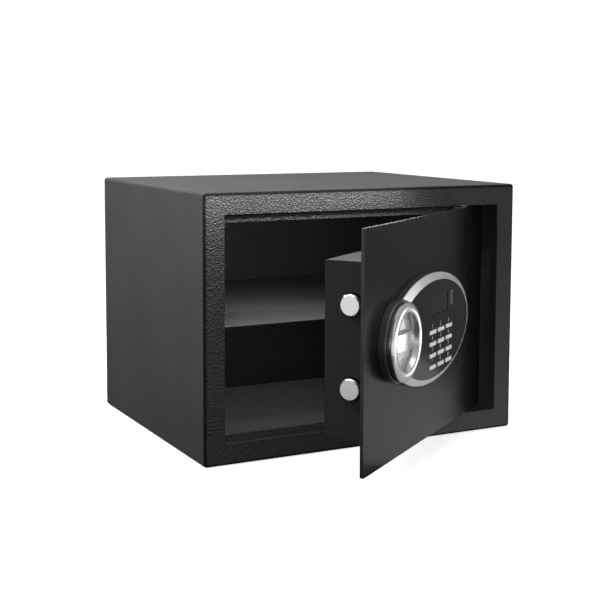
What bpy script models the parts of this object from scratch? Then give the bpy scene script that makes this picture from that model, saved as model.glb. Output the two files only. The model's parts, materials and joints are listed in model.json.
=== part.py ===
"""Small electronic home safe with its door ajar. Metres, +Z up, -Y is the front, +X the hinge side.

The origin is the centre of the base's underside. Everything on the door is laid out as if the door
were shut, under the empty door_layout, and the empty door_axis on the hinge line turns it open.
Pieces that face the user are measured by their height above the door plate's outer face.
"""

import math

import bmesh
import bpy
from mathutils import Vector

MM = 0.001
GAP = 0.3 * MM  # clearance between pieces that touch

# Cabinet
WIDTH, DEPTH, HEIGHT = 340 * MM, 276 * MM, 250 * MM
SHEET = 2 * MM
BEND = 3 * MM  # outer radius of the sheet's bends
FRONT, BACK = -DEPTH / 2, DEPTH / 2
SIDE = WIDTH / 2 - SHEET  # inner face of the side walls
OPENING_X = 150 * MM  # half width of the doorway
OPENING_LOW, OPENING_HIGH = 20 * MM, 230 * MM
LIP = 4 * MM  # depth of the doorway's folded edge
STOP_REACH = 7.5 * MM  # how far the door stops show inside the doorway
STOP_END = 92 * MM
ANCHOR_X, ANCHOR_Z, ANCHOR_R = 120 * MM, 125 * MM, 5.5 * MM

# Shelf
SHELF_TOP = 130.8 * MM
SHELF_FRONT, SHELF_BACK = FRONT + 58 * MM, 125 * MM
SHELF_LIP = 14 * MM
SHELF_SHEET = 1.2 * MM
RAIL_WIDTH = 13 * MM

# Door
PIVOT_X, PIVOT_Y = 113.4 * MM, FRONT + 8 * MM
OPEN_ANGLE = math.radians(36)
PLATE = 3 * MM
PLATE_X = 148.5 * MM
PLATE_LOW, PLATE_HIGH = 21.5 * MM, 228.5 * MM
PLATE_BACK = FRONT + PLATE
PIN_R = 2.5 * MM
LUG = 4 * MM

# Bolt work behind the door plate
CASE_LOW = Vector((-133.5 * MM, PLATE_BACK + GAP, 50 * MM))
CASE_HIGH = Vector((88 * MM, -95 * MM, 199.5 * MM))
CASE_SHEET = 1.2 * MM
BOLT_R = 9.5 * MM
BOLT_Y = -120.5 * MM
BOLT_ZS = {"bolt_upper": 163 * MM, "bolt_lower": 92 * MM}
BOLT_TIP, BOLT_TAIL = -138.5 * MM, -92 * MM
CARRIAGE_RIGHT = -64 * MM
CARRIAGE_Y = (-127.5 * MM, -125 * MM)
CAM_PIN_ARM, CAM_PIN_R = 17 * MM, 2.5 * MM
PLUNGER_X, PLUNGER_Y, PLUNGER_R = -83.5 * MM, -125.5 * MM, 3.5 * MM
SPINDLE_R = 5 * MM
CABLE_X, CABLE_Z = 12 * MM, 136 * MM
SCREW_XS, SCREW_ZS = (-125 * MM, 80 * MM), (58 * MM, 191.5 * MM)

# Knob and keypad, by height above the door plate
KNOB_X, KNOB_Z = -84.5 * MM, 126 * MM
KNOB_R, HUB_R = 35 * MM, 30 * MM
KNOB_BACK, KNOB_SHOULDER, KNOB_CROWN = 7.8 * MM, 10.4 * MM, 14.3 * MM
CROWN_R = 29 * MM
DISH_R, DISH_FLOOR = 23.6 * MM, 6.3 * MM
GRIP_HALF, GRIP_TOP, GRIP_DROP = 8.5 * MM, 11.4 * MM, 2.2 * MM
FASCIA_TOP, FASCIA_RIM = 11.5 * MM, 6.3 * MM  # crown of the dome, and its height at the outline
BOSS_TOP = 7.5 * MM
FASCIA_CENTRE, FASCIA_A, FASCIA_B = (-9.3 * MM, 126.1 * MM), 100.3 * MM, 50.6 * MM
PANEL_CENTRE, PANEL_A, PANEL_B = (-3 * MM, 124.6 * MM), 90.4 * MM, 44.8 * MM
PANEL_LOW, PANEL_TOP = 4.6 * MM, 6.5 * MM
BOSS_R = 36 * MM
KEY_SIZE = (15.8 * MM, 4 * MM)
KEY_LOW, KEY_TOP = 3.4 * MM, 7.4 * MM
KEY_PITCH = (21.2 * MM, 10.8 * MM)
KEY_FIRST = (-7.4 * MM, 121.9 * MM)
KEY_NAMES = (("1", "2", "3"), ("4", "5", "6"), ("7", "8", "9"), ("star", "0", "hash"))
WINDOW_CENTRE, WINDOW_SIZE = (10.5 * MM, 146.5 * MM), (43 * MM, 19 * MM)
LAMP_CENTRE, LAMP_SIZE = (41.5 * MM, 147.7 * MM), (9 * MM, 15 * MM)

# Batteries in the bolt work's cover
CELL_R, CELL_LENGTH = 7.1 * MM, 50 * MM
CELL_FIRST_Z, CELL_PITCH = 133.5 * MM, 15 * MM
CELLS = 4
TRAY_LOW = Vector((4 * MM, -114.5 * MM, 124.5 * MM))
TRAY_HIGH = Vector((62 * MM, CASE_HIGH.y - CASE_SHEET - 0.4 * MM, 187.5 * MM))
TRAY_WALL = 1.5 * MM
RESET_X, RESET_Z = 75 * MM, 100 * MM

LOOKS = {  # base colour, roughness, metallic
    "body_paint": ((0.075, 0.073, 0.07), 0.5, 0.0),
    "door_paint": ((0.03, 0.03, 0.03), 0.35, 0.0),
    "silver_plastic": ((0.62, 0.62, 0.63), 0.3, 0.6),
    "panel_plastic": ((0.02, 0.02, 0.022), 0.2, 0.0),
    "lens": ((0.05, 0.05, 0.05), 0.1, 0.0),
    "display": ((0.14, 0.15, 0.13), 0.3, 0.0),
    "board": ((0.03, 0.16, 0.07), 0.5, 0.0),
    "rubber": ((0.04, 0.04, 0.04), 0.8, 0.0),
    "bright_steel": ((0.72, 0.72, 0.72), 0.25, 1.0),
    "zinc_steel": ((0.55, 0.55, 0.53), 0.4, 1.0),
    "coil_tape": ((0.55, 0.38, 0.06), 0.5, 0.0),
    "cell_wrap": ((0.1, 0.1, 0.11), 0.35, 0.0),
    "red_plastic": ((0.5, 0.03, 0.02), 0.4, 0.0),
    "felt": ((0.045, 0.045, 0.047), 0.95, 0.0),
    "black_plastic": ((0.03, 0.03, 0.03), 0.5, 0.0),
}


# ---------------------------------------------------------------- scene


def clear_scene():
    for thing in list(bpy.data.objects):
        bpy.data.objects.remove(thing, do_unlink=True)


def collection(name):
    made = bpy.data.collections.new(name)
    bpy.context.scene.collection.children.link(made)
    return made


def empty(name, location, parent=None, turn=0.0):
    made = bpy.data.objects.new(name, None)
    parts.objects.link(made)
    made.location = location
    made.rotation_euler = (0, 0, turn)
    made.parent = parent
    return made


def look(name):
    if name not in bpy.data.materials:
        colour, roughness, metallic = LOOKS[name]
        material = bpy.data.materials.new(name)
        material.use_nodes = True
        shader = material.node_tree.nodes["Principled BSDF"]
        shader.inputs["Base Color"].default_value = (*colour, 1)
        shader.inputs["Roughness"].default_value = roughness
        shader.inputs["Metallic"].default_value = metallic
    return bpy.data.materials[name]


def put(name, mesh, parent, material):
    """Links a mesh as a part, or as a cutter where it has no material."""
    made = bpy.data.objects.new(name, mesh)
    made.parent = parent
    if material:
        mesh.materials.append(look(material))
        parts.objects.link(made)
    else:
        made.hide_render = True
        made.display_type = "WIRE"
        cutters.objects.link(made)
    return made


def combine(thing, other, operation="DIFFERENCE"):
    modifier = thing.modifiers.new(f"{operation.lower()}_{len(thing.modifiers)}", "BOOLEAN")
    modifier.operation = operation
    modifier.solver = "EXACT"
    modifier.object = other


def add(thing, other):
    combine(thing, other, "UNION")


# ---------------------------------------------------------------- shapes


def finish_mesh(name, bm):
    mesh = bpy.data.meshes.new(name)
    bm.to_mesh(mesh)
    bm.free()
    return mesh


def box(name, low, high, parent=None, material=None, bevel=0.0, chosen=None, segments=2):
    """A box between two corners. chosen picks the edges to round, from their middle and direction."""
    low, high = Vector(low), Vector(high)
    bm = bmesh.new()
    bmesh.ops.create_cube(bm, size=1)
    bmesh.ops.scale(bm, vec=high - low, verts=bm.verts)
    if bevel:
        edges = [edge for edge in bm.edges if chosen is None or chosen(*edge_place(edge))]
        bmesh.ops.bevel(bm, geom=edges, offset=bevel, segments=segments, profile=0.5, affect="EDGES")
    made = put(name, finish_mesh(name, bm), parent, material)
    made.location = (low + high) / 2
    return made


def edge_place(edge):
    first, second = (vert.co for vert in edge.verts)
    return (first + second) / 2, (second - first).normalized()


def along_y(_middle, direction):
    return abs(direction.y) > 0.9


def not_at_back(middle, direction):
    return middle.y < DEPTH / 2 - MM


def rod(name, start, end, radius, parent=None, material=None, sides=32):
    """A cylinder from one point to another."""
    start, end = Vector(start), Vector(end)
    bm = bmesh.new()
    bmesh.ops.create_cone(
        bm,
        cap_ends=True,
        segments=sides,
        radius1=radius,
        radius2=radius,
        depth=(end - start).length,
    )
    made = put(name, finish_mesh(name, bm), parent, material)
    made.location = (start + end) / 2
    made.rotation_euler = Vector((0, 0, 1)).rotation_difference(end - start).to_euler()
    made.data.shade_smooth()
    made.data.set_sharp_from_angle(angle=math.radians(40))
    return made


def turned(name, profile, centre, parent=None, material=None, steps=48, turn=(math.pi / 2, 0, 0)):
    """A turned piece: (radius, height) points run down its outer side. Height is outward, along -Y."""
    bm = bmesh.new()
    verts = [bm.verts.new((radius, 0, height)) for radius, height in profile]
    for first, second in zip(verts, verts[1:]):
        bm.edges.new((first, second))
    made = put(name, finish_mesh(name, bm), parent, material)
    made.location = centre
    made.rotation_euler = turn
    screw = made.modifiers.new("turn", "SCREW")
    screw.axis = "Z"
    screw.steps = screw.render_steps = steps
    screw.use_merge_vertices = True
    screw.merge_threshold = 0.00001
    screw.use_smooth_shade = True
    return made


def oval(centre, half_x, half_z, count=72):
    """Outline of an ellipse around centre, in the door's plane."""
    angles = [2 * math.pi * step / count for step in range(count)]
    return [
        (centre[0] + half_x * math.cos(angle), centre[1] + half_z * math.sin(angle))
        for angle in angles
    ]


def plate(name, outline, low, high, parent=None, material=None, edge=0.0):
    """A flat piece in the door's plane, between two heights above the plate, its front edge rounded."""
    curve = bpy.data.curves.new(name, "CURVE")
    curve.dimensions = "2D"
    curve.fill_mode = "BOTH"
    curve.extrude = (high - low) / 2
    spline = curve.splines.new("POLY")
    spline.points.add(len(outline) - 1)
    spline.use_cyclic_u = True
    for point, (x, z) in zip(spline.points, outline):
        point.co = (x, z, 0, 1)
    drawn = bpy.data.objects.new(name + "_outline", curve)
    bpy.context.scene.collection.objects.link(drawn)
    graph = bpy.context.evaluated_depsgraph_get()
    mesh = bpy.data.meshes.new_from_object(drawn.evaluated_get(graph))
    bpy.data.objects.remove(drawn, do_unlink=True)
    bm = bmesh.new()
    bm.from_mesh(mesh)
    bmesh.ops.remove_doubles(bm, verts=bm.verts, dist=0.00001)
    bmesh.ops.translate(bm, vec=(0, 0, (low + high) / 2), verts=bm.verts)
    bmesh.ops.dissolve_limit(bm, angle_limit=0.001, verts=bm.verts, edges=bm.edges)
    bmesh.ops.recalc_face_normals(bm, faces=bm.faces)
    if edge:
        rim = [e for e in bm.edges if all(v.co.z > high - GAP / 10 for v in e.verts)]
        bmesh.ops.bevel(bm, geom=rim, offset=edge, segments=3, profile=0.5, affect="EDGES")
    bm.to_mesh(mesh)
    bm.free()
    made = put(name, mesh, parent, material)
    made.location = (0, FRONT, 0)
    made.rotation_euler = (math.pi / 2, 0, 0)
    return made


def tube(name, points, radius, parent, material):
    """A round wire along points, as a curve with filled caps."""
    curve = bpy.data.curves.new(name, "CURVE")
    curve.dimensions = "3D"
    curve.bevel_depth = radius
    curve.bevel_resolution = 2
    curve.use_fill_caps = True
    spline = curve.splines.new("POLY")
    spline.points.add(len(points) - 1)
    for point, place in zip(spline.points, points):
        point.co = (*place, 1)
    return put(name, curve, parent, material)


def up(height):
    """World y of a height above the shut door's outer face."""
    return FRONT - height


# ---------------------------------------------------------------- cabinet


def body_shell():
    shell = box(
        "body_shell",
        (-WIDTH / 2, FRONT, 0),
        (WIDTH / 2, BACK, HEIGHT),
        material="body_paint",
        bevel=BEND,
        chosen=not_at_back,
        segments=4,
    )
    room = box(
        "room_cutter", (-SIDE, FRONT + SHEET, SHEET), (SIDE, BACK + 5 * MM, HEIGHT - SHEET)
    )
    edge = SHEET
    fold = box(
        "fold_adder",
        (-OPENING_X - edge, FRONT + SHEET / 2, OPENING_LOW - edge),
        (OPENING_X + edge, FRONT + LIP, OPENING_HIGH + edge),
        bevel=4 * MM,
        chosen=along_y,
        segments=4,
    )
    doorway = box(
        "doorway_cutter",
        (-OPENING_X, FRONT - 5 * MM, OPENING_LOW),
        (OPENING_X, FRONT + 10 * MM, OPENING_HIGH),
        bevel=2 * MM,
        chosen=along_y,
        segments=4,
    )
    combine(shell, room)
    add(shell, fold)
    combine(shell, doorway)


def back_panel():
    panel = box(
        "back_panel",
        (-SIDE + GAP, BACK - SHEET, SHEET + GAP),
        (SIDE - GAP, BACK, HEIGHT - SHEET - GAP),
        material="body_paint",
    )
    for side in (-1, 1):
        x = side * ANCHOR_X
        hole = rod(
            f"anchor_cutter_{side}",
            (x, BACK - 10 * MM, ANCHOR_Z),
            (x, BACK + 10 * MM, ANCHOR_Z),
            ANCHOR_R,
            sides=24,
        )
        combine(panel, hole)


def door_stop(name, wall, tip):
    """An angle strip welded inside the frame: an upright leg at the doorway and one along the wall."""
    inward = 1 if tip > wall else -1
    y = FRONT + LIP + GAP
    thick = 1.5 * MM
    foot = wall + inward * thick
    upright = box(
        name, (-OPENING_X + MM, y, min(wall, tip)), (STOP_END, y + thick, max(wall, tip)),
        material="body_paint",
    )
    leg = box(
        name + "_leg",
        (-OPENING_X + MM, y + thick / 2, min(wall, foot)),
        (STOP_END, y + 12 * MM, max(wall, foot)),
    )
    add(upright, leg)


def hinge_block(name, low, high):
    block = box(
        name,
        (PIVOT_X - 11.5 * MM, FRONT + LIP + GAP, low),
        (PIVOT_X + 11.5 * MM, PIVOT_Y + 9 * MM, high),
        material="body_paint",
    )
    bore = rod(
        name + "_bore", (PIVOT_X, PIVOT_Y, low - MM), (PIVOT_X, PIVOT_Y, high + MM), PIN_R + GAP
    )
    combine(block, bore)


def shelf_and_rails():
    under = SHELF_TOP - SHELF_SHEET
    shelf = box(
        "shelf",
        (-SIDE + MM, SHELF_FRONT, under),
        (SIDE - MM, SHELF_BACK, SHELF_TOP),
        material="body_paint",
    )
    for name, y in (("front", SHELF_FRONT), ("rear", SHELF_BACK - SHELF_SHEET)):
        drop = SHELF_LIP if name == "front" else SHELF_LIP / 2
        lip = box(
            f"shelf_lip_{name}",
            (-SIDE + MM, y, SHELF_TOP - drop),
            (SIDE - MM, y + SHELF_SHEET, SHELF_TOP - SHELF_SHEET / 2),
        )
        add(shelf, lip)
    for name, side in (("shelf_rail_left", -1), ("shelf_rail_right", 1)):
        wall = side * (SIDE - GAP)
        inner = wall - side * RAIL_WIDTH
        thick = 1.5 * MM
        top = under - GAP
        start, end = SHELF_FRONT + 3 * MM, SHELF_BACK - 3 * MM
        rail = box(
            name, (min(wall, inner), start, top - thick), (max(wall, inner), end, top),
            material="zinc_steel",
        )
        fixed = wall - side * thick
        flange = box(
            name + "_flange", (min(wall, fixed), start, top - 12 * MM), (max(wall, fixed), end, top)
        )
        add(rail, flange)


def cabinet():
    body_shell()
    back_panel()
    door_stop("door_stop_top", HEIGHT - SHEET - GAP, OPENING_HIGH - STOP_REACH)
    door_stop("door_stop_bottom", SHEET + GAP, OPENING_LOW + STOP_REACH)
    hinge_block("hinge_block_top", OPENING_HIGH + GAP, HEIGHT - SHEET - GAP)
    hinge_block("hinge_block_bottom", SHEET + GAP, OPENING_LOW - GAP)
    shelf_and_rails()
    box(
        "floor_mat",
        (-160 * MM, FRONT + 18.5 * MM, SHEET + GAP),
        (160 * MM, 132 * MM, 5 * MM),
        material="felt",
        bevel=MM,
        chosen=lambda middle, direction: abs(direction.z) > 0.9,
    )


# ---------------------------------------------------------------- door


def door_plate():
    made = box(
        "door_plate",
        (-PLATE_X, FRONT, PLATE_LOW),
        (PLATE_X, PLATE_BACK, PLATE_HIGH),
        door_layout,
        "door_paint",
        bevel=1.5 * MM,
        chosen=along_y,
    )
    spindle_hole = rod(
        "spindle_hole",
        (KNOB_X, FRONT - 5 * MM, KNOB_Z),
        (KNOB_X, FRONT + 8 * MM, KNOB_Z),
        SPINDLE_R + GAP,
        door_layout,
    )
    combine(made, spindle_hole)
    cable_hole = rod(
        "cable_hole",
        (CABLE_X, FRONT - 5 * MM, CABLE_Z),
        (CABLE_X, FRONT + 8 * MM, CABLE_Z),
        5 * MM,
        door_layout,
        sides=24,
    )
    combine(made, cable_hole)


def hinge_side(end, edge, inward):
    """The lug and pin at the door's top or bottom. inward points from that edge to the door's middle."""
    lug_low, lug_high = sorted((edge, edge + inward * LUG))
    lug = box(
        f"hinge_lug_{end}",
        (PIVOT_X - 10 * MM, PLATE_BACK + GAP, lug_low),
        (PIVOT_X + 10 * MM, PIVOT_Y + 6 * MM, lug_high),
        door_layout,
        "door_paint",
    )
    bore = rod(
        f"hinge_lug_{end}_bore",
        (PIVOT_X, PIVOT_Y, lug_low - MM),
        (PIVOT_X, PIVOT_Y, lug_high + MM),
        PIN_R + GAP,
        door_layout,
    )
    combine(lug, bore)
    tip, collar, tail = edge - inward * 15 * MM, edge - inward * GAP, edge + inward * 7 * MM
    profile = [
        (0, tip),
        (PIN_R, tip),
        (PIN_R, collar - inward * MM),
        (4.5 * MM, collar - inward * MM),
        (4.5 * MM, collar),
        (PIN_R, collar),
        (PIN_R, tail),
        (0, tail),
    ]
    if tip < tail:
        profile.reverse()
    turned(
        f"hinge_pin_{end}", profile, (PIVOT_X, PIVOT_Y, 0), door_layout, "bright_steel", 24, (0, 0, 0)
    )


def lock_case():
    case = box(
        "lock_case",
        CASE_LOW,
        CASE_HIGH,
        door_layout,
        "door_paint",
        bevel=1.5 * MM,
        chosen=lambda middle, direction: middle.y > 0,
    )
    wall = Vector((CASE_SHEET, 0, CASE_SHEET))
    room = box(
        "case_room",
        CASE_LOW + wall - Vector((0, 5 * MM, 0)),
        CASE_HIGH - wall - Vector((0, CASE_SHEET, 0)),
        door_layout,
    )
    combine(case, room)
    for name, z in BOLT_ZS.items():
        hole = rod(
            name + "_hole",
            (CASE_LOW.x - 5 * MM, BOLT_Y, z),
            (CASE_LOW.x + 5 * MM, BOLT_Y, z),
            BOLT_R + MM,
            door_layout,
        )
        combine(case, hole)
    window = box(
        "battery_window",
        (TRAY_LOW.x + 2.5 * MM, CASE_HIGH.y - 5 * MM, TRAY_LOW.z + 2.5 * MM),
        (TRAY_HIGH.x - 2.5 * MM, CASE_HIGH.y + 5 * MM, TRAY_HIGH.z - 2.5 * MM),
        door_layout,
    )
    combine(case, window)
    reset_hole = rod(
        "reset_hole",
        (RESET_X, CASE_HIGH.y - 5 * MM, RESET_Z),
        (RESET_X, CASE_HIGH.y + 5 * MM, RESET_Z),
        4.3 * MM,
        door_layout,
        sides=24,
    )
    combine(case, reset_hole)
    for number, (x, z) in enumerate(screw_places()):
        hole = rod(
            f"case_screw_hole_{number}",
            (x, CASE_HIGH.y - 5 * MM, z),
            (x, CASE_HIGH.y + 5 * MM, z),
            1.9 * MM + GAP,
            door_layout,
            sides=16,
        )
        combine(case, hole)


def screw_places():
    return [(x, z) for x in SCREW_XS for z in SCREW_ZS]


def case_screws():
    """Cross-recess pan-head screws; height 0 is the case's outer rear face."""
    head, shank, crown = 3.6 * MM, 1.9 * MM, 2.2 * MM
    under = GAP
    depth = CASE_HIGH.y - PLATE_BACK - 2 * GAP
    dome = [
        (head * math.sin(angle), under + 0.6 * MM + (crown - 0.6 * MM) * math.cos(angle))
        for angle in (math.pi / 2 * step / 4 for step in range(5))
    ]
    profile = dome + [(head, under), (shank, under), (shank, -depth), (0, -depth)]
    slots = box(
        "screw_slot", (-2.2 * MM, -0.5 * MM, 1.3 * MM), (2.2 * MM, 0.5 * MM, 5 * MM)
    )
    cross = box(
        "screw_cross", (-0.5 * MM, -2.2 * MM, 1.3 * MM), (0.5 * MM, 2.2 * MM, 5 * MM)
    )
    for number, (x, z) in enumerate(screw_places(), 1):
        place = (x, CASE_HIGH.y, z)
        screw = turned(
            f"case_screw_{number}", profile, place, door_layout, "zinc_steel", 16,
            (-math.pi / 2, 0, 0),
        )
        for source in (slots, cross):
            tool = put(f"{source.name}_{number}", source.data, door_layout, None)
            tool.location = Vector(place) + Vector((0, source.location.z, 0))
            tool.rotation_euler = (-math.pi / 2, 0, 0)
            combine(screw, tool)
    for source in (slots, cross):
        bpy.data.objects.remove(source, do_unlink=True)


# ---------------------------------------------------------------- bolt work


def bolts():
    chamfer = 1.2 * MM
    length = BOLT_TAIL - BOLT_TIP
    for name, z in BOLT_ZS.items():
        profile = [
            (0, length),
            (BOLT_R - chamfer, length),
            (BOLT_R, length - chamfer),
            (BOLT_R, 0),
            (0, 0),
        ]
        turned(
            name, profile, (BOLT_TAIL, BOLT_Y, z), door_layout, "bright_steel", 40,
            (0, -math.pi / 2, 0),
        )
    top, low = BOLT_ZS["bolt_upper"] + 12 * MM, BOLT_ZS["bolt_lower"] - 12 * MM
    left = BOLT_TAIL + GAP
    thick = 2.5 * MM
    carriage = box(
        "bolt_carriage", (left, CARRIAGE_Y[0], low), (left + thick, BOLT_Y + BOLT_R, top),
        door_layout, "zinc_steel",
    )
    web = box(
        "carriage_web",
        (left + thick / 2, CARRIAGE_Y[0], 100 * MM),
        (CARRIAGE_RIGHT, CARRIAGE_Y[1], 150 * MM),
        door_layout,
    )
    add(carriage, web)
    pin_x = KNOB_X + CAM_PIN_ARM * math.cos(math.pi / 4)
    pin_z = KNOB_Z + CAM_PIN_ARM * math.sin(math.pi / 4)
    play = CAM_PIN_R + 0.8 * MM
    slot = box(
        "carriage_slot",
        (pin_x - play, CARRIAGE_Y[0] - 5 * MM, pin_z - play),
        (pin_x + play, CARRIAGE_Y[1] + 5 * MM, KNOB_Z + CAM_PIN_ARM + play),
        door_layout,
        bevel=2.5 * MM,
        chosen=along_y,
        segments=3,
    )
    combine(carriage, slot)
    notch = box(
        "carriage_notch",
        (PLUNGER_X - 5 * MM, CARRIAGE_Y[0] - 5 * MM, 142 * MM),
        (PLUNGER_X + 5 * MM, CARRIAGE_Y[1] + 5 * MM, 160 * MM),
        door_layout,
    )
    combine(carriage, notch)


def bolt_guide():
    low, high = 75 * MM, 180 * MM
    guide = box(
        "bolt_guide",
        (-120.5 * MM, PLATE_BACK + GAP, low),
        (-118.5 * MM, -108 * MM, high),
        door_layout,
        "zinc_steel",
    )
    foot = box(
        "guide_foot",
        (-119.5 * MM, PLATE_BACK + GAP, low),
        (-108 * MM, PLATE_BACK + GAP + 1.6 * MM, high),
        door_layout,
    )
    add(guide, foot)
    for name, z in BOLT_ZS.items():
        hole = rod(
            name + "_guide_hole",
            (-130 * MM, BOLT_Y, z),
            (-100 * MM, BOLT_Y, z),
            BOLT_R + GAP,
            door_layout,
            sides=40,
        )
        combine(guide, hole)


def solenoid():
    low, high = 158 * MM, 180 * MM
    body = box(
        "solenoid_body",
        (-88.5 * MM, PLUNGER_Y - 9 * MM, low),
        (-68.5 * MM, PLUNGER_Y + 9 * MM, high),
        door_layout,
        "coil_tape",
        bevel=MM,
        chosen=lambda middle, direction: abs(direction.z) > 0.9,
    )
    bore = rod(
        "solenoid_bore",
        (PLUNGER_X, PLUNGER_Y, low - MM),
        (PLUNGER_X, PLUNGER_Y, high + MM),
        PLUNGER_R + GAP,
        door_layout,
        sides=24,
    )
    combine(body, bore)
    tip, collar = 150.8 * MM, 187.3 * MM
    profile = [
        (0, 192 * MM),
        (2 * MM, 192 * MM),
        (2 * MM, collar + 1.2 * MM),
        (5.2 * MM, collar + 1.2 * MM),
        (5.2 * MM, collar),
        (PLUNGER_R, collar),
        (PLUNGER_R, tip + 0.6 * MM),
        (PLUNGER_R - 0.6 * MM, tip),
        (0, tip),
    ]
    turned(
        "solenoid_plunger", profile, (PLUNGER_X, PLUNGER_Y, 0), door_layout, "bright_steel", 24,
        (0, 0, 0),
    )
    spring("plunger_spring", collar + 1.5 * MM, CASE_HIGH.z - CASE_SHEET - GAP)


def spring(name, low, high, turns=4, per_turn=12, wire=0.4 * MM, radius=3.6 * MM):
    rise = high - low - 2 * wire
    points = []
    for step in range(turns * per_turn + 1):
        angle = 2 * math.pi * step / per_turn
        height = low + wire + rise * step / (turns * per_turn)
        points.append(
            (PLUNGER_X + radius * math.cos(angle), PLUNGER_Y + radius * math.sin(angle), height)
        )
    tube(name, points, wire, door_layout, "bright_steel")


def cam_and_spindle():
    outer, inner = up(0.7 * MM), -128.5 * MM
    rod("spindle", (0, outer, 0), (0, inner, 0), SPINDLE_R, knob_axis, "bright_steel")
    cam_front, cam_back = PLATE_BACK + 0.8 * MM, PLATE_BACK + 3.8 * MM
    cam = rod(
        "bolt_cam", (0, cam_front, 0), (0, cam_back, 0), 21 * MM, knob_axis, "zinc_steel", sides=48
    )
    bore = rod("cam_bore", (0, cam_front - MM, 0), (0, cam_back + MM, 0), SPINDLE_R + GAP, knob_axis)
    combine(cam, bore)
    reach = CAM_PIN_ARM * math.cos(math.pi / 4)
    pin = rod(
        "cam_pin", (reach, cam_front + MM, reach), (reach, -123.5 * MM, reach), CAM_PIN_R, knob_axis,
        sides=24,
    )
    add(cam, pin)
    ring = rod(
        "spindle_clip", (0, cam_back + GAP, 0), (0, cam_back + 1.5 * MM, 0), 8 * MM, knob_axis,
        "zinc_steel",
    )
    opening = rod(
        "clip_bore", (0, cam_back, 0), (0, cam_back + 3 * MM, 0), SPINDLE_R + GAP, knob_axis
    )
    combine(ring, opening)


# ---------------------------------------------------------------- knob


def grip_bar(half_length):
    """A bar across the dish, crowned along its length, its upper edges rounded."""
    steps = 12
    top = []
    for step in range(steps + 1):
        x = half_length * (2 * step / steps - 1)
        top.append((x, GRIP_TOP - GRIP_DROP * (x / half_length) ** 2))
    outline = [(half_length, 4 * MM), (-half_length, 4 * MM)] + top
    bm = bmesh.new()
    verts = [bm.verts.new((x, FRONT - height, -GRIP_HALF)) for x, height in outline]
    face = bm.faces.new(verts)
    raised = bmesh.ops.extrude_face_region(bm, geom=[face])["geom"]
    moved = [part for part in raised if isinstance(part, bmesh.types.BMVert)]
    bmesh.ops.translate(bm, vec=(0, 0, 2 * GRIP_HALF), verts=moved)
    bmesh.ops.recalc_face_normals(bm, faces=bm.faces)
    lowest = FRONT - 8 * MM
    rims = [
        edge
        for edge in bm.edges
        if all(vert.co.y < lowest for vert in edge.verts) and abs(edge_place(edge)[1].z) < 0.1
    ]
    bmesh.ops.bevel(bm, geom=rims, offset=1.2 * MM, segments=3, profile=0.5, affect="EDGES")
    return put("grip_bar", finish_mesh("grip_bar", bm), knob_axis, None)


def knob():
    """A wide dished knob: a crowned rim round a dish, with a grip bar between two finger pockets."""
    mouth_r = CROWN_R - 3 * MM
    profile = [
        (0, DISH_FLOOR),
        (DISH_R, DISH_FLOOR),
        (DISH_R + 0.9 * MM, DISH_FLOOR + 3 * MM),
        (mouth_r - 0.3 * MM, KNOB_CROWN - 1.2 * MM),
        (mouth_r, KNOB_CROWN - 0.7 * MM),
        (mouth_r + 0.8 * MM, KNOB_CROWN - 0.2 * MM),
    ]
    for step in range(11):
        angle = math.pi / 2 * step / 10
        profile.append(
            (
                CROWN_R + (KNOB_R - CROWN_R) * math.sin(angle),
                KNOB_SHOULDER + (KNOB_CROWN - KNOB_SHOULDER) * math.cos(angle),
            )
        )
    profile += [(KNOB_R, KNOB_BACK), (HUB_R, KNOB_BACK), (HUB_R, MM), (0, MM)]
    made = turned("knob", profile, (0, FRONT, 0), knob_axis, "silver_plastic", 72)
    add(made, grip_bar(mouth_r - 0.4 * MM))


# ---------------------------------------------------------------- keypad


def boss_outline(radius):
    return oval((KNOB_X, KNOB_Z), radius, radius)


def fascia():
    """A domed oval frame round the panel, with a round boss for the knob."""
    profile = []
    for step in range(9):
        share = step / 8
        height = FASCIA_TOP - (FASCIA_TOP - FASCIA_RIM) * share * share
        profile.append(((FASCIA_A - 0.5 * MM) * share, height))
    profile += [(FASCIA_A, FASCIA_RIM - 0.5 * MM), (FASCIA_A, GAP), (0, GAP)]
    centre = (FASCIA_CENTRE[0], FRONT, FASCIA_CENTRE[1])
    made = turned("fascia", profile, centre, door_layout, "silver_plastic", 96)
    made.scale.y = FASCIA_B / FASCIA_A
    inner = plate("fascia_inner", oval(PANEL_CENTRE, PANEL_A, PANEL_B, 96), -MM, 20 * MM, door_layout)
    combine(made, inner)
    opening = plate("fascia_opening", boss_outline(BOSS_R - 0.4 * MM), -MM, 20 * MM, door_layout)
    combine(made, opening)
    boss = plate("fascia_boss", boss_outline(BOSS_R), GAP, BOSS_TOP, door_layout, edge=MM)
    add(made, boss)
    well = plate("fascia_well", boss_outline(HUB_R + 0.5 * MM), -MM, 20 * MM, door_layout)
    combine(made, well)


def rounded(centre, size, radius):
    """Outline of a rectangle with round corners."""
    points = []
    for corner in range(4):
        middle = math.pi / 4 + corner * math.pi / 2
        across = math.copysign(size[0] / 2 - radius, math.cos(middle))
        along = math.copysign(size[1] / 2 - radius, math.sin(middle))
        for step in range(4):
            angle = corner * math.pi / 2 + step * math.pi / 6
            points.append(
                (
                    centre[0] + across + radius * math.cos(angle),
                    centre[1] + along + radius * math.sin(angle),
                )
            )
    return points


def grown(size, amount):
    return tuple(side + 2 * amount for side in size)


def key_places():
    for row, names in enumerate(KEY_NAMES):
        for column, name in enumerate(names):
            x = KEY_FIRST[0] + column * KEY_PITCH[0]
            yield name, (x, KEY_FIRST[1] - row * KEY_PITCH[1])


def clear_of_boss(thing, low, high, radius=BOSS_R + GAP):
    hole = plate(thing.name + "_boss_hole", boss_outline(radius), low, high, door_layout)
    combine(thing, hole)


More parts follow.
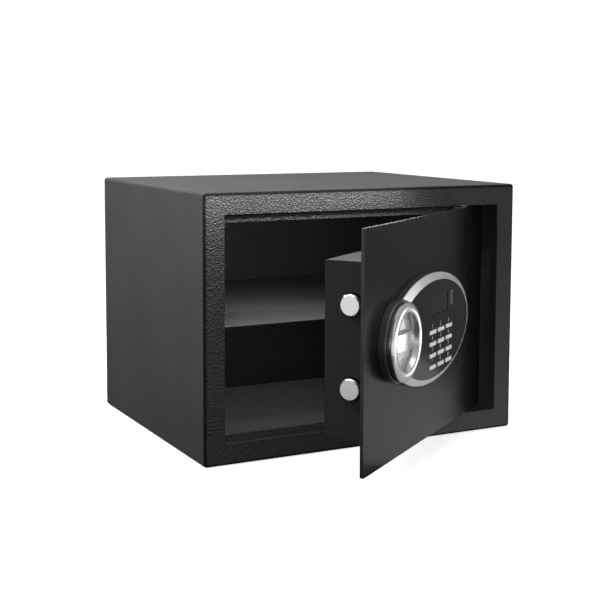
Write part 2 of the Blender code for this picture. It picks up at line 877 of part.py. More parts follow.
def keypad():
    panel = plate(
        "keypad_panel", oval(PANEL_CENTRE, PANEL_A - GAP, PANEL_B - GAP, 96), PANEL_LOW, PANEL_TOP,
        door_layout, "panel_plastic",
    )
    clear_of_boss(panel, 0, 20 * MM)
    below, above = PANEL_LOW - MM, PANEL_TOP + MM
    window = plate("window_hole", rounded(WINDOW_CENTRE, WINDOW_SIZE, MM), below, above, door_layout)
    lamp = plate("lamp_hole", rounded(LAMP_CENTRE, LAMP_SIZE, MM), below, above, door_layout)
    combine(panel, window)
    combine(panel, lamp)
    for name, place in key_places():
        size = grown(KEY_SIZE, GAP)
        hole = plate(f"key_hole_{name}", rounded(place, size, 0.8 * MM), below, above, door_layout)
        combine(panel, hole)
    plate(
        "display_window", rounded(WINDOW_CENTRE, grown(WINDOW_SIZE, -GAP), MM), 4.9 * MM, 6.1 * MM,
        door_layout, "lens",
    )
    plate(
        "lamp_lens", rounded(LAMP_CENTRE, grown(LAMP_SIZE, -GAP), MM), PANEL_LOW, 6.8 * MM,
        door_layout, "display",
    )
    plate(
        "display_module", rounded(WINDOW_CENTRE, grown(WINDOW_SIZE, -1.5 * MM), MM), 2.2 * MM,
        4.4 * MM, door_layout, "display",
    )
    board = plate(
        "keypad_board", oval(PANEL_CENTRE, PANEL_A - 3 * MM, PANEL_B - 3 * MM), 0.6 * MM, 1.6 * MM,
        door_layout, "board",
    )
    clear_of_boss(board, -MM, 5 * MM, BOSS_R + 2 * MM)
    middle = (KEY_FIRST[0] + KEY_PITCH[0], KEY_FIRST[1] - 1.5 * KEY_PITCH[1] + MM)
    mat = (2 * KEY_PITCH[0] + 19 * MM, 3 * KEY_PITCH[1] + 5 * MM)
    plate("key_mat", rounded(middle, mat, 3 * MM), 1.9 * MM, 2.5 * MM, door_layout, "rubber")


def keys():
    """Each key's origin is the middle of its own face."""
    for name, place in key_places():
        cap = box(
            f"key_{name}",
            (place[0] - KEY_SIZE[0] / 2, up(KEY_TOP), place[1] - KEY_SIZE[1] / 2),
            (place[0] + KEY_SIZE[0] / 2, up(KEY_LOW), place[1] + KEY_SIZE[1] / 2),
            door_layout,
            "silver_plastic",
            bevel=0.5 * MM,
            chosen=lambda middle, direction: abs(direction.y) > 0.9 or middle.y < -MM,
        )
        cap.data.shade_smooth()
        cap.data.set_sharp_from_angle(angle=math.radians(50))


# ---------------------------------------------------------------- electronics


def lock_board():
    low, high = Vector((-50 * MM, -131 * MM, 58 * MM)), Vector((5 * MM, -129.5 * MM, 112 * MM))
    board = box("lock_board", low, high, door_layout, "board")
    blocks = (
        ("relay", (-44 * MM, 64 * MM), (16 * MM, 12 * MM, 10 * MM)),
        ("socket", (-14 * MM, 96 * MM), (14 * MM, 8 * MM, 7 * MM)),
        ("sounder", (-20 * MM, 66 * MM), (12 * MM, 12 * MM, 6 * MM)),
    )
    for name, (x, z), (length, width, height) in blocks:
        block = box(
            name, (x, high.y - 0.5 * MM, z), (x + length, high.y + height, z + width), door_layout
        )
        add(board, block)


def keypad_cable():
    """A round loom from the keypad board, through the plate, down to the lock board."""
    start = Vector((CABLE_X, up(0.2 * MM), CABLE_Z))
    end = Vector((CABLE_X - 8 * MM, -128 * MM, 90 * MM))
    points = []
    for step in range(13):
        share = step / 12
        ease = share * share * (3 - 2 * share)
        y = start.y + (end.y - start.y) * min(1.0, 1.9 * share) + 7 * MM * math.sin(math.pi * share)
        points.append((start.x + (end.x - start.x) * ease, y, start.z + (end.z - start.z) * ease))
    tube("keypad_cable", points, 1.5 * MM, door_layout, "black_plastic")


def battery_parts():
    tray = box("battery_tray", TRAY_LOW, TRAY_HIGH, door_layout, "black_plastic")
    wall = Vector((TRAY_WALL, TRAY_WALL, TRAY_WALL))
    room = box(
        "tray_room", TRAY_LOW + wall, TRAY_HIGH - wall + Vector((0, 5 * MM, 0)), door_layout
    )
    combine(tray, room)
    middle = (TRAY_LOW.x + TRAY_HIGH.x) / 2
    y = TRAY_LOW.y + TRAY_WALL + GAP + CELL_R
    for number in range(CELLS):
        facing = 1 if number % 2 else -1
        z = CELL_FIRST_Z + number * CELL_PITCH
        profile = [
            (0, CELL_LENGTH / 2),
            (2.7 * MM, CELL_LENGTH / 2),
            (2.7 * MM, CELL_LENGTH / 2 - MM),
            (CELL_R - 0.6 * MM, CELL_LENGTH / 2 - MM),
            (CELL_R, CELL_LENGTH / 2 - 1.6 * MM),
            (CELL_R, -CELL_LENGTH / 2),
            (0, -CELL_LENGTH / 2),
        ]
        turned(
            f"battery_{number + 1}", profile, (middle, y, z), door_layout, "cell_wrap", 24,
            (0, facing * math.pi / 2, 0),
        )
    cover = box(
        "battery_cover",
        (TRAY_LOW.x, CASE_HIGH.y + GAP, TRAY_LOW.z),
        (TRAY_HIGH.x, CASE_HIGH.y + GAP + 2 * MM, TRAY_HIGH.z),
        door_layout,
        "black_plastic",
        bevel=0.8 * MM,
        chosen=lambda middle, direction: middle.y > -0.1 * MM,
    )
    inset = 2.5 * MM + GAP
    plug = box(
        "cover_plug",
        (TRAY_LOW.x + inset, CASE_HIGH.y - 1.4 * MM, TRAY_LOW.z + inset),
        (TRAY_HIGH.x - inset, CASE_HIGH.y + MM, TRAY_HIGH.z - inset),
        door_layout,
    )
    add(cover, plug)
    for number in range(3):
        z = TRAY_HIGH.z - (8 + 3 * number) * MM
        rib = box(
            f"cover_rib_{number}",
            (middle - 10 * MM, CASE_HIGH.y + MM, z),
            (middle + 10 * MM, CASE_HIGH.y + 3 * MM, z + 1.4 * MM),
            door_layout,
        )
        add(cover, rib)


def reset_button():
    inside = CASE_SHEET + GAP
    profile = [
        (0, 1.5 * MM),
        (3.4 * MM, 1.5 * MM),
        (4 * MM, 0.9 * MM),
        (4 * MM, -inside),
        (5.4 * MM, -inside),
        (5.4 * MM, -inside - 1.2 * MM),
        (0, -inside - 1.2 * MM),
    ]
    turned(
        "reset_button", profile, (RESET_X, CASE_HIGH.y, RESET_Z), door_layout, "red_plastic", 24,
        (-math.pi / 2, 0, 0),
    )


# ---------------------------------------------------------------- build

clear_scene()
parts = collection("electronic_safe")
cutters = collection("cutters")
door_axis = empty("door_axis", (PIVOT_X, PIVOT_Y, 0), turn=OPEN_ANGLE)
door_layout = empty("door_layout", (-PIVOT_X, -PIVOT_Y, 0), door_axis)
knob_axis = empty("knob_axis", (KNOB_X, 0, KNOB_Z), door_layout)

cabinet()
door_plate()
hinge_side("top", PLATE_HIGH, -1)
hinge_side("bottom", PLATE_LOW, 1)
lock_case()
case_screws()
bolts()
bolt_guide()
solenoid()
cam_and_spindle()
knob()
fascia()
keypad()
keys()
lock_board()
keypad_cable()
battery_parts()
reset_button()
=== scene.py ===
"""Looks for the small electronic safe: materials, key labels, camera, floor and studio light."""

import json
import math

import bmesh
import bpy
from mathutils import Matrix, Vector


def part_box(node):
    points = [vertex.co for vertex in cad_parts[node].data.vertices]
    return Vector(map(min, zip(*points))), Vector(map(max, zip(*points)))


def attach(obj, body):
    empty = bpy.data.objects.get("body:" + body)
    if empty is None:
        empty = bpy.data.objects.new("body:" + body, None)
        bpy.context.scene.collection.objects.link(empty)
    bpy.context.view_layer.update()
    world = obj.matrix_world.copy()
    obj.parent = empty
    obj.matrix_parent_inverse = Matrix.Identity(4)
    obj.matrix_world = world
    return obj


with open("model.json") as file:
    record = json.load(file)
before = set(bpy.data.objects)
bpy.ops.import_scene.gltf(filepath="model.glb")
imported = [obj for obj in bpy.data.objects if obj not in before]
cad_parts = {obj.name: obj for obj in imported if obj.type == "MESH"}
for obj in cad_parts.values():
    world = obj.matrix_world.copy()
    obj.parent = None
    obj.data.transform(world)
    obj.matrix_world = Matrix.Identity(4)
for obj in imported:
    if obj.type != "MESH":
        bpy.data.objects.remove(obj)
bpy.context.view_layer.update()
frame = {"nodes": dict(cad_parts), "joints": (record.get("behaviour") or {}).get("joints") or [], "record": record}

MM = 0.001
JOINTS = {joint["name"]: joint for joint in frame["joints"]}
OUT = Vector(JOINTS["knob_turn"]["axis"]).normalized()  # out of the door plate
PIVOT = Vector(JOINTS["door_swing"]["pos_m"])
KNOB = Vector(JOINTS["knob_turn"]["pos_m"])
DOOR_ANGLE = math.atan2(OUT.x, -OUT.y)
BOSS_REACH = 36.3 * MM  # just past the round boss under the knob
RAMP_SPAN = 50 * MM  # the length that a ramp's 0 to 1 stands for
LABEL_SIZE = 5.4 * MM
LABEL_RISE = 3.3 * MM  # from a key's top edge to the middle of its label
LABEL_DEPTH = 0.02 * MM
LABEL_WEIGHT = 0.12 * MM  # how much each stroke is widened
LABEL_LIFT = 0.03 * MM  # clear of the panel's face
KEY_TEXTS = {
    "key_1": "1", "key_2": "2", "key_3": "3", "key_4": "4", "key_5": "5", "key_6": "6",
    "key_7": "7", "key_8": "8", "key_9": "9", "key_star": "*", "key_0": "0", "key_hash": "#",
}

CAMERA_PLACE = (-0.591783, -1.139694, 0.322944)
CAMERA_AZ, CAMERA_EL, CAMERA_ROLL = 0.4772, 0.0954, 0.0035  # radians
CAMERA_LENS, CAMERA_SENSOR, CAMERA_SHIFT = 73.59, 36, -0.12  # lens and sensor in mm
# The world's brightness, from straight down (0) to straight up (1).
SKY = ((0.0, 0.02), (0.36, 0.04), (0.48, 0.2), (0.6, 0.29), (1.0, 0.6))
FLOOR_DROP, FLOOR_RADIUS, FLOOR_GLOW = 0.5 * MM, 30, 0.75
STUDIO_LIGHTS = (  # name, place, target, size, watts, whether it shows in gloss
    ("top_softbox", (-0.1, 0.1, 1.3), (0, 0, 0.2), (1.2, 1.2), 9, True),
    ("left_softbox", (-0.45, 0.05, 0.62), (-0.17, 0, 0.2), (0.4, 0.3), 5.2, False),
    ("raking_strip", (-0.1, -0.162, 0.258), (-0.1, -0.162, 0), (0.29, 0.014), 0.205, True),
    ("left_card", (-1.28, -0.51, 0.15), (-0.1, -0.25, 0.15), (0.7, 0.7), 1.4, True),
    ("low_card", (0.46, -0.27, 0.002), (0.46, -0.27, 1), (0.9, 0.34), 0.4, True),
    ("front_softbox", (0.5, -1.6, 0.9), (0, 0, 0.1), (0.9, 0.9), 1.0, True),
    ("upper_fill", (-0.08, -0.1, 0.205), (-0.06, 0.14, 0.13), (0.14, 0.03), 0.13, False),
    ("lower_fill", (-0.08, -0.1, 0.1), (-0.06, 0.14, 0.03), (0.14, 0.03), 0.06, False),
)
# These light only the knob, the fascia and the keys.
SILVER_LIGHTS = (  # name, place, target, size, watts
    ("knob_card", (-1.2, -1.15, 0.25), KNOB, (0.6, 0.5), 1.2),
    ("grip_card", (0.557, -0.3, 0.105), (-0.04, -0.25, 0.105), (0.2, 0.2), 0.36),
    ("bar_card", (0.557, -0.178, 0.034), (-0.04, -0.25, 0.1), (0.105, 0.06), 0.036),
    ("rim_card", (0.5, -0.62, 0.03), KNOB, (0.5, 0.3), 0.5),
    ("low_rim_card", (0.0, -0.86, 0.03), KNOB, (0.6, 0.3), 0.5),
)


# ---------------------------------------------------------------- node helpers


class Look:
    """A node material with one Principled shader."""

    def __init__(self, name, **sockets):
        self.material = bpy.data.materials.new(name)
        self.material.use_nodes = True
        self.tree = self.material.node_tree
        self.shader = self.tree.nodes["Principled BSDF"]
        for socket, value in sockets.items():
            self.shader.inputs[socket.replace("_", " ")].default_value = value
        self.places = {}

    def node(self, kind, settings=None, **sockets):
        made = self.tree.nodes.new("ShaderNode" + kind)
        for key, value in (settings or {}).items():
            setattr(made, key, value)
        for socket, value in sockets.items():
            self.feed(made.inputs[socket.replace("_", " ")], value)
        return made

    def feed(self, socket, value):
        if isinstance(value, bpy.types.NodeSocket):
            self.tree.links.new(value, socket)
        else:
            socket.default_value = value

    def place(self, turned=False):
        """Coordinates in metres, turned to lie along the door where asked."""
        if turned not in self.places:
            found = self.node("TexCoord").outputs["Object"]
            if turned:
                found = self.node(
                    "Mapping", Vector=found, Rotation=(0, 0, -DOOR_ANGLE)
                ).outputs["Vector"]
            self.places[turned] = found
        return self.places[turned]

    def centred(self, centre, scale=(1, 1, 1)):
        """Coordinates along the door, from a point in the row frame."""
        start = Matrix.Rotation(-DOOR_ANGLE, 3, "Z") @ Vector(centre)
        offset = [-value * factor for value, factor in zip(start, scale)]
        return self.node(
            "Mapping", Vector=self.place(True), Location=offset, Scale=scale
        ).outputs["Vector"]

    def from_knob_axis(self):
        """Distance from the knob's axis, in metres."""
        flat = self.vector_maths("MULTIPLY", self.centred(KNOB), (1, 0, 1))
        return self.vector_maths("LENGTH", flat.outputs["Vector"], (0, 0, 0)).outputs["Value"]

    def noise(self, scale, detail=2.0, roughness=0.5, vector=None):
        return self.node(
            "TexNoise", Vector=vector or self.place(), Scale=scale, Detail=detail,
            Roughness=roughness,
        ).outputs["Fac"]

    def ramp(self, factor, *stops):
        made = self.node("ValToRGB", Fac=factor)
        elements = made.color_ramp.elements
        while len(elements) < len(stops):
            elements.new(0.5)
        for element, (position, value) in zip(elements, stops):
            element.position = position
            shade = (value, value, value) if isinstance(value, float) else value
            element.color = (*shade, 1)
        return made.outputs["Color"]

    def maths(self, operation, first, second=0.0):
        made = self.node("Math", {"operation": operation})
        self.feed(made.inputs[0], first)
        self.feed(made.inputs[1], second)
        return made.outputs["Value"]

    def mix(self, share, first, second, blend="MIX"):
        made = self.node("Mix", {"data_type": "RGBA", "blend_type": blend}, Factor=share)
        self.feed(made.inputs["A"], first)
        self.feed(made.inputs["B"], second)
        return made.outputs["Result"]

    def tint(self, colour, shade):
        return self.mix(1.0, colour, shade, "MULTIPLY")

    def vector_maths(self, operation, first, second):
        made = self.node("VectorMath", {"operation": operation})
        self.feed(made.inputs[0], first)
        made.inputs[1].default_value = second
        return made

    def normal(self):
        """The surface's direction in the row frame, at rest."""
        return self.node("TexCoord").outputs["Normal"]

    def colour(self, value):
        self.feed(self.shader.inputs["Base Color"], value)

    def roughness(self, value):
        self.feed(self.shader.inputs["Roughness"], value)

    def bump(self, height, strength, distance):
        made = self.node("Bump", Height=height, Strength=strength, Distance=distance)
        self.feed(self.shader.inputs["Normal"], made.outputs["Normal"])


def hammer_paint(name="hammer_paint", dark=0.046, light=0.058, rough_front=False):
    """Hammered paint; where asked, rougher on the front frame, with a painted dark reflection along its folded
    edges and painted shade and highlight on the front's hammer relief.
    """
    look = Look(name, Specular_IOR_Level=0.5)
    cells = look.node(
        "TexVoronoi", {"feature": "SMOOTH_F1"}, Vector=look.place(), Scale=560.0, Smoothness=0.6,
        Randomness=1.0,
    ).outputs["Distance"]
    grain = look.noise(820.0, 3.0, 0.6)
    height = look.maths("ADD", cells, look.maths("MULTIPLY", grain, 0.6))
    cloud = look.noise(9.0, 3.0)
    tints = [(shade, shade * 0.98, shade * 0.94) for shade in (dark, light)]
    paint = look.ramp(cloud, (0.3, tints[0]), (0.7, tints[1]))
    gloss = look.ramp(look.noise(260.0, 2.0), (0.3, 0.32), (0.7, 0.44))
    strength = 0.5
    if rough_front:
        normal = look.node("SeparateXYZ", Vector=look.normal())
        ahead = look.maths("MULTIPLY", normal.outputs["Y"], -1.0)
        above = look.maths("MAXIMUM", normal.outputs["Z"], 0.0)
        edge = look.maths("SUBTRACT", ahead, look.maths("MULTIPLY", above, 0.45))
        # Painted shade: the bends between the front and the sides and top are drawn as a dark line, standing in
        # for their reflection of the dark studio.
        fold_shade = look.ramp(edge, (0.08, 1.0), (0.2, 0.03), (0.96, 0.03), (0.99, 1.0))
        # Painted shade and highlight, on the front only: the hammer hollows are darkened and the crests are
        # brightened past the paint's own colour.
        relief_shading = look.ramp(height, (0.35, 0.62), (0.75, 1.25))
        on_front = look.maths("GREATER_THAN", ahead, 0.99)
        paint = look.tint(look.tint(paint, look.mix(on_front, (1, 1, 1, 1), relief_shading)), fold_shade)
        gloss = look.maths("MAXIMUM", gloss, look.maths("SUBTRACT", 1.0, fold_shade))
        strength = look.ramp(ahead, (0.5, 0.2), (0.95, 1.0))
    look.colour(paint)
    look.roughness(gloss)
    look.bump(height, strength, 0.9 * MM)
    return look.material


def satin_paint(name="satin_paint", shade=0.012, low=0.24, high=0.29, specular=0.5):
    look = Look(name, Specular_IOR_Level=specular)
    cloud = look.noise(12.0, 3.0)
    look.colour(look.ramp(cloud, (0.3, shade), (0.7, shade * 1.15)))
    look.roughness(look.ramp(look.noise(60.0, 4.0), (0.3, low), (0.7, high)))
    look.bump(look.noise(1100.0, 2.0), 0.12, 0.1 * MM)
    return look.material


def silver_paint(name="silver_paint", dark_sides=False, low=0.26, high=0.36):
    """Metallic paint with a fine flake, dark on the boss and the standing walls where asked."""
    look = Look(name, Metallic=0.7)
    flake = look.noise(5200.0, 1.0)
    face = look.ramp(flake, (0.35, (0.66, 0.66, 0.67)), (0.65, (0.84, 0.84, 0.85)))
    if dark_sides:
        facing = look.vector_maths("DOT_PRODUCT", look.normal(), OUT).outputs["Value"]
        past_boss = look.maths("GREATER_THAN", look.from_knob_axis(), BOSS_REACH)
        share = look.maths("MULTIPLY", look.ramp(facing, (0.15, 0.0), (0.7, 1.0)), past_boss)
        face = look.mix(share, look.ramp(flake, (0.35, 0.1), (0.65, 0.16)), face)
    look.colour(face)
    look.roughness(look.ramp(look.noise(90.0, 3.0), (0.3, low), (0.7, high)))
    look.bump(flake, 0.08, 0.05 * MM)
    return look.material


def turned_silver():
    """Metal knob finish with fine rings round its axis, with a painted dark reflection on its outer side."""
    look = Look("turned_silver", Metallic=0.9)
    radius = look.from_knob_axis()
    rings = look.node(
        "TexNoise", {"noise_dimensions": "1D"}, W=radius, Scale=2600.0, Detail=3.0
    ).outputs["Fac"]
    share = look.maths("MULTIPLY", radius, 1 / RAMP_SPAN)
    # Painted reflection: the outer side is darkened in colour, standing in for the dark surroundings it reflects.
    side_reflection_shade = look.ramp(share, (34.2 * MM / RAMP_SPAN, 1.0), (34.6 * MM / RAMP_SPAN, 0.35))
    silver = look.ramp(rings, (0.3, (0.66, 0.66, 0.67)), (0.7, (0.8, 0.8, 0.81)))
    look.colour(look.tint(silver, side_reflection_shade))
    look.roughness(look.ramp(rings, (0.3, 0.18), (0.7, 0.27)))
    look.bump(rings, 0.1, 0.05 * MM)
    return look.material


def gloss_panel():
    look = Look("gloss_panel", Coat_Weight=0.3, Coat_Roughness=0.06)
    look.colour(look.ramp(look.noise(30.0, 3.0), (0.3, 0.008), (0.7, 0.012)))
    look.roughness(look.ramp(look.noise(140.0, 5.0, 0.7), (0.35, 0.12), (0.75, 0.2)))
    look.bump(look.noise(900.0, 2.0), 0.04, 0.05 * MM)
    return look.material


def dark_window():
    look = Look("dark_window", Coat_Weight=0.6, Coat_Roughness=0.04)
    look.colour(look.ramp(look.noise(25.0, 2.0), (0.3, 0.011), (0.7, 0.015)))
    look.roughness(look.ramp(look.noise(200.0, 4.0), (0.3, 0.1), (0.7, 0.16)))
    look.bump(look.noise(500.0, 1.0), 0.03, 0.05 * MM)
    return look.material


def lamp_glass():
    look = Look("lamp_glass")
    stripes = look.node(
        "TexWave", {"bands_direction": "Z"}, Vector=look.place(), Scale=320.0, Distortion=0.2
    ).outputs["Fac"]
    look.colour(look.ramp(stripes, (0.2, 0.15), (0.8, 0.21)))
    look.roughness(look.ramp(look.noise(150.0), (0.3, 0.2), (0.7, 0.28)))
    look.bump(stripes, 0.1, 0.1 * MM)
    return look.material


def segment_display():
    look = Look("segment_display")
    look.colour(look.ramp(look.noise(60.0), (0.3, (0.12, 0.13, 0.11)), (0.7, (0.15, 0.16, 0.14))))
    look.roughness(look.ramp(look.noise(300.0), (0.3, 0.25), (0.7, 0.4)))
    look.bump(look.noise(2000.0), 0.05, 0.05 * MM)
    return look.material


def circuit_board():
    look = Look("circuit_board")
    local = look.centred(PIVOT, (900, 900, 900))
    tracks = look.node(
        "TexBrick", {"offset": 0.3, "squash": 1.6}, Vector=local, Scale=0.35, Mortar_Size=0.06,
        Color1=(0.012, 0.1, 0.04, 1), Color2=(0.016, 0.13, 0.05, 1), Mortar=(0.05, 0.22, 0.08, 1),
    )
    look.colour(tracks.outputs["Color"])
    look.roughness(look.ramp(look.noise(400.0), (0.3, 0.3), (0.7, 0.45)))
    look.bump(tracks.outputs["Fac"], 0.2, 0.1 * MM)
    return look.material


def soft_rubber():
    look = Look("soft_rubber")
    look.colour(look.ramp(look.noise(50.0), (0.3, 0.03), (0.7, 0.045)))
    look.roughness(look.ramp(look.noise(200.0), (0.3, 0.65), (0.7, 0.8)))
    look.bump(look.noise(1500.0), 0.2, 0.1 * MM)
    return look.material


def ground_steel():
    """Steel with a fine grind and faint scratches."""
    look = Look("ground_steel", Metallic=1.0)
    streaks = look.noise(60.0, 4.0, 0.6, look.centred(PIVOT, (20, 20, 260)))
    scratches = look.noise(900.0, 2.0)
    look.colour(look.ramp(streaks, (0.3, 0.7176), (0.7, 0.78)))
    look.roughness(look.ramp(scratches, (0.3, 0.2), (0.7, 0.3)))
    look.bump(streaks, 0.08, 0.05 * MM)
    return look.material


def zinc_plate():
    look = Look("zinc_plate", Metallic=1.0)
    spangle = look.node("TexVoronoi", Vector=look.place(), Scale=170.0).outputs["Color"]
    shade = look.node("RGBToBW", Color=spangle).outputs["Val"]
    look.colour(look.ramp(shade, (0.1, (0.44, 0.45, 0.44)), (0.9, (0.6, 0.6, 0.58))))
    look.roughness(look.ramp(look.noise(220.0, 3.0), (0.3, 0.3), (0.7, 0.45)))
    look.bump(look.noise(800.0, 3.0), 0.1, 0.1 * MM)
    return look.material


def coil_tape():
    look = Look("amber_coil_tape")
    wraps = look.node(
        "TexWave", {"bands_direction": "Z"}, Vector=look.place(), Scale=110.0, Distortion=0.6
    ).outputs["Fac"]
    look.colour(look.ramp(wraps, (0.1, (0.3, 0.17, 0.02)), (0.6, (0.5, 0.32, 0.05))))
    look.roughness(look.ramp(look.noise(90.0), (0.3, 0.3), (0.7, 0.5)))
    look.bump(wraps, 0.3, 0.2 * MM)
    return look.material


def cell_sleeve():
    """Dark sleeve with a copper band at one end of each cell."""
    look = Look("cell_sleeve", Metallic=0.4)
    low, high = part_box("battery_1")
    local = look.centred((low + high) / 2)
    along = look.node("SeparateXYZ", Vector=local).outputs["X"]
    share = look.maths("ADD", look.maths("MULTIPLY", along, 1 / RAMP_SPAN), 0.5)
    dark, copper = (0.03, 0.03, 0.035), (0.5, 0.24, 0.1)
    look.colour(look.ramp(share, (0.0, dark), (0.69, dark), (0.7, copper)))
    look.roughness(look.ramp(look.noise(120.0), (0.3, 0.22), (0.7, 0.34)))
    look.bump(look.noise(700.0), 0.05, 0.05 * MM)
    return look.material


def moulded(name, colour, low=0.35, high=0.5):
    look = Look(name)
    dark = tuple(value * 0.85 for value in colour)
    look.colour(look.ramp(look.noise(40.0, 3.0), (0.3, dark), (0.7, colour)))
    look.roughness(look.ramp(look.noise(260.0, 3.0), (0.3, low), (0.7, high)))
    look.bump(look.noise(1300.0, 2.0), 0.15, 0.1 * MM)
    return look.material


def felt():
    look = Look("felt", Sheen_Weight=0.4, Sheen_Roughness=0.5)
    fibres = look.noise(900.0, 6.0, 0.75)
    look.colour(look.ramp(fibres, (0.3, (0.018, 0.018, 0.02)), (0.7, (0.04, 0.04, 0.043))))
    look.roughness(look.ramp(fibres, (0.3, 0.85), (0.7, 1.0)))
    look.bump(fibres, 0.6, 0.4 * MM)
    return look.material


def printed_ink():
    look = Look("label_ink")
    look.colour(look.ramp(look.noise(2500.0, 2.0), (0.3, 0.8), (0.7, 0.9)))
    look.roughness(look.ramp(look.noise(600.0), (0.3, 0.4), (0.7, 0.55)))
    look.bump(look.noise(3000.0), 0.05, 0.02 * MM)
    return look.material


# ---------------------------------------------------------------- pieces


def dress(node, material):
    for slot in frame["nodes"][node].material_slots:
        slot.material = material


def door_turn(at):
    """Matrix that takes x across, y in, z up on the shut door to the row frame at a point."""
    return Matrix.Translation(at) @ Matrix.Rotation(DOOR_ANGLE, 4, "Z")


def outer_face(node):
    """How far the node's outermost point lies along the door's outward direction."""
    return max(OUT.dot(vert.co) for vert in frame["nodes"][node].data.vertices)


def key_labels(material):
    """Printed digits above the keys, as one thin raised print."""
    face = outer_face("keypad_panel")
    bm = bmesh.new()
    for number, (node, text) in enumerate(KEY_TEXTS.items()):
        low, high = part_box(node)
        centre = (low + high) / 2
        centre += OUT * (face - OUT.dot(centre) + LABEL_LIFT)
        centre.z = high.z + LABEL_RISE
        curve = bpy.data.curves.new(f"label_{number}", "FONT")
        curve.body = text
        curve.size = LABEL_SIZE
        curve.align_x = "CENTER"
        curve.align_y = "CENTER"
        curve.extrude = LABEL_DEPTH
        curve.offset = LABEL_WEIGHT
        drawn = bpy.data.objects.new("label_drawn", curve)
        bpy.context.scene.collection.objects.link(drawn)
        mesh = bpy.data.meshes.new_from_object(
            drawn.evaluated_get(bpy.context.evaluated_depsgraph_get())
        )
        bpy.data.objects.remove(drawn, do_unlink=True)
        mesh.transform(door_turn(centre) @ Matrix.Rotation(math.pi / 2, 4, "X"))
        bm.from_mesh(mesh)
        bpy.data.meshes.remove(mesh)
    made = bpy.data.meshes.new("key_labels")
    bm.to_mesh(made)
    bm.free()
    made.materials.clear()
    made.materials.append(material)
    labels = bpy.data.objects.new("key_labels", made)
    bpy.context.scene.collection.objects.link(labels)
    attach(labels, "door")


looks = {
    "body_paint": hammer_paint(rough_front=True),
    "door_paint": satin_paint(),
    "silver_plastic": silver_paint(),
    "panel_plastic": gloss_panel(),
    "lens": dark_window(),
    "display": segment_display(),
    "board": circuit_board(),
    "rubber": soft_rubber(),
    "bright_steel": ground_steel(),
    "zinc_steel": zinc_plate(),
    "coil_tape": coil_tape(),
    "cell_wrap": cell_sleeve(),
    "red_plastic": moulded("moulded_red", (0.45, 0.02, 0.015), 0.25, 0.35),
    "felt": felt(),
    "black_plastic": moulded("moulded_black", (0.02, 0.02, 0.02)),
}
for part in frame["record"]["subparts"]:
    dress(part["node"], looks[part["material_slot"]])
dress("lock_case", satin_paint("cover_paint", 0.021, 0.42, 0.5, specular=0.22))
dress("shelf", hammer_paint("shelf_paint", 0.066, 0.084))
dress("knob", turned_silver())
dress("fascia", silver_paint("fascia_paint", dark_sides=True))
dress("lamp_lens", lamp_glass())
key_paint = silver_paint("key_paint", low=0.4, high=0.48)
for node in KEY_TEXTS:
    dress(node, key_paint)
key_labels(printed_ink())


# ---------------------------------------------------------------- stage


def studio_world():
    """White to the camera. To everything else it is grey, and darker toward the ground."""
    world = bpy.data.worlds.new("studio")
    world.use_nodes = True
    tree = world.node_tree
    background = tree.nodes["Background"]
    coords = tree.nodes.new("ShaderNodeTexCoord")
    split = tree.nodes.new("ShaderNodeSeparateXYZ")
    ramp = tree.nodes.new("ShaderNodeValToRGB")
    share = tree.nodes.new("ShaderNodeMapRange")
    share.inputs["From Min"].default_value = -1
    rays = tree.nodes.new("ShaderNodeLightPath")
    mix = tree.nodes.new("ShaderNodeMix")
    mix.data_type = "RGBA"
    tree.links.new(coords.outputs["Generated"], split.inputs["Vector"])
    tree.links.new(split.outputs["Z"], share.inputs["Value"])
    tree.links.new(share.outputs["Result"], ramp.inputs["Fac"])
    elements = ramp.color_ramp.elements
    while len(elements) < len(SKY):
        elements.new(0.5)
    for element, (position, value) in zip(elements, SKY):
        element.position = position
        element.color = (value, value, value, 1)
    tree.links.new(rays.outputs["Is Camera Ray"], mix.inputs["Factor"])
    tree.links.new(ramp.outputs["Color"], mix.inputs["A"])
    mix.inputs["B"].default_value = (1, 1, 1, 1)
    tree.links.new(mix.outputs["Result"], background.inputs["Color"])
    bpy.context.scene.world = world


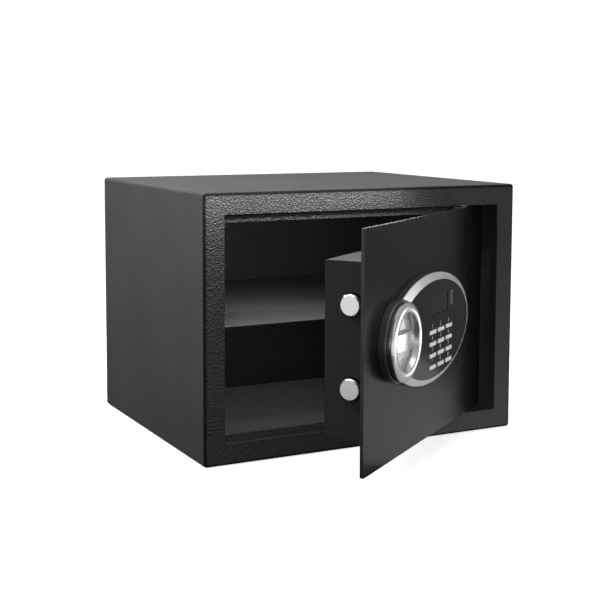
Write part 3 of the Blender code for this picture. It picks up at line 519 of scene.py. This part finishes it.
def floor_plane():
    """A pale floor that only the camera sees. It neither lights the object nor shows in it."""
    bm = bmesh.new()
    bmesh.ops.create_circle(bm, cap_ends=True, segments=64, radius=FLOOR_RADIUS)
    mesh = bpy.data.meshes.new("floor")
    bm.to_mesh(mesh)
    bm.free()
    look = Look("pale_floor", Emission_Color=(1, 1, 1, 1), Emission_Strength=FLOOR_GLOW)
    look.colour(look.ramp(look.noise(2.0), (0.3, 0.78), (0.7, 0.8)))
    look.roughness(look.ramp(look.noise(30.0), (0.3, 0.6), (0.7, 0.7)))
    mesh.materials.append(look.material)
    made = bpy.data.objects.new("floor", mesh)
    made.location.z = -FLOOR_DROP
    made.visible_glossy = False
    made.visible_diffuse = False
    bpy.context.scene.collection.objects.link(made)


def softbox(name, place, target, size, power, glossy=True, only=None):
    """Rectangular light that the camera doesn't see, for one collection only where asked."""
    light = bpy.data.lights.new(name, "AREA")
    light.shape = "RECTANGLE"
    light.size, light.size_y = size
    light.energy = power
    made = bpy.data.objects.new(name, light)
    made.location = place
    made.rotation_euler = (Vector(target) - Vector(place)).to_track_quat("-Z", "Y").to_euler()
    made.visible_camera = False
    made.visible_glossy = glossy
    if only:
        made.light_linking.receiver_collection = only
    bpy.context.scene.collection.objects.link(made)


def camera():
    made = bpy.data.objects.new("camera", bpy.data.cameras.new("camera"))
    forward = Vector(
        (math.sin(CAMERA_AZ) * math.cos(CAMERA_EL), math.cos(CAMERA_AZ) * math.cos(CAMERA_EL),
         -math.sin(CAMERA_EL))
    )
    level = Vector((math.cos(CAMERA_AZ), -math.sin(CAMERA_AZ), 0))
    above = level.cross(forward)
    right = level * math.cos(CAMERA_ROLL) + above * math.sin(CAMERA_ROLL)
    up = above * math.cos(CAMERA_ROLL) - level * math.sin(CAMERA_ROLL)
    turn = Matrix((right, up, -forward)).transposed()
    made.matrix_world = Matrix.Translation(CAMERA_PLACE) @ turn.to_4x4()
    made.data.sensor_width = CAMERA_SENSOR
    made.data.lens = CAMERA_LENS
    made.data.shift_y = CAMERA_SHIFT
    bpy.context.scene.collection.objects.link(made)
    bpy.context.scene.camera = made


studio_world()
floor_plane()
camera()
for light in STUDIO_LIGHTS:
    softbox(*light)
silver_parts = bpy.data.collections.new("silver_parts")
for node in ["knob", "fascia"] + list(KEY_TEXTS):
    silver_parts.objects.link(frame["nodes"][node])
for light in SILVER_LIGHTS:
    softbox(*light, only=silver_parts)

bpy.context.scene.view_settings.view_transform = "Standard"
